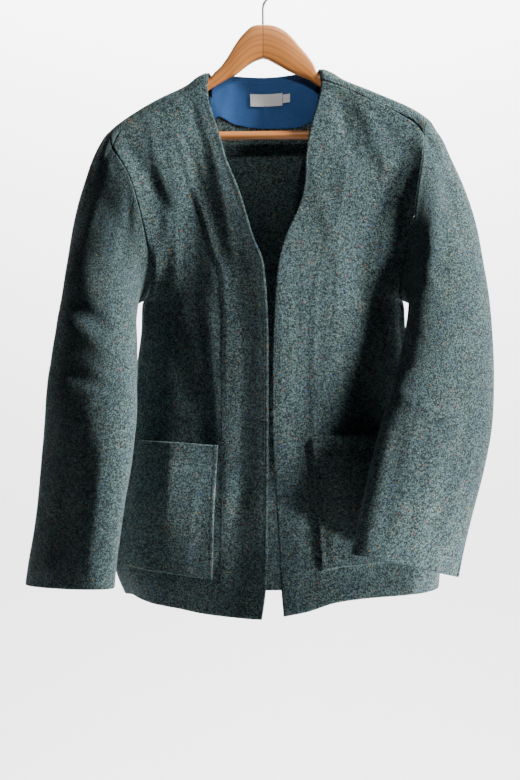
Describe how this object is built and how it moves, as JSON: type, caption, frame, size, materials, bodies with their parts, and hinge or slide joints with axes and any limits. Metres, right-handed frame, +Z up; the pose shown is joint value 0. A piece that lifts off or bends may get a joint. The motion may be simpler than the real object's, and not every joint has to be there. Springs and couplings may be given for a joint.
{
  "type": "tweed jacket on a wooden hanger",
  "caption": "Open collarless jacket of thick tweed with patch pockets and two-piece sleeves, hung on a shaped wooden hanger with a wire hook.",
  "frame": {"origin": "inside top of the hook, where a rail carries the hanger", "axes": "+Z up, +X to the right as seen from the front, +Y towards the back"},
  "size_m": [0.6028, 0.2159, 0.8542],
  "materials": {
    "tweed": "napped wool",
    "cotton": "smooth weave",
    "label": "woven",
    "wood": "varnished",
    "steel": "satin"
  },
  "bodies": {
    "root": {"back": "tweed", "front_left": "tweed", "front_right": "tweed", "sleeve_top_left": "tweed", "sleeve_under_left": "tweed", "sleeve_top_right": "tweed", "sleeve_under_right": "tweed", "pocket_left": "tweed", "pocket_right": "tweed", "neck_facing": "cotton", "neck_label": "label", "size_tab": "label", "hanger_arm_left": "wood", "hanger_arm_right": "wood", "trouser_bar": "wood", "hanger_hook": "steel"}
  },
  "joints": []
}
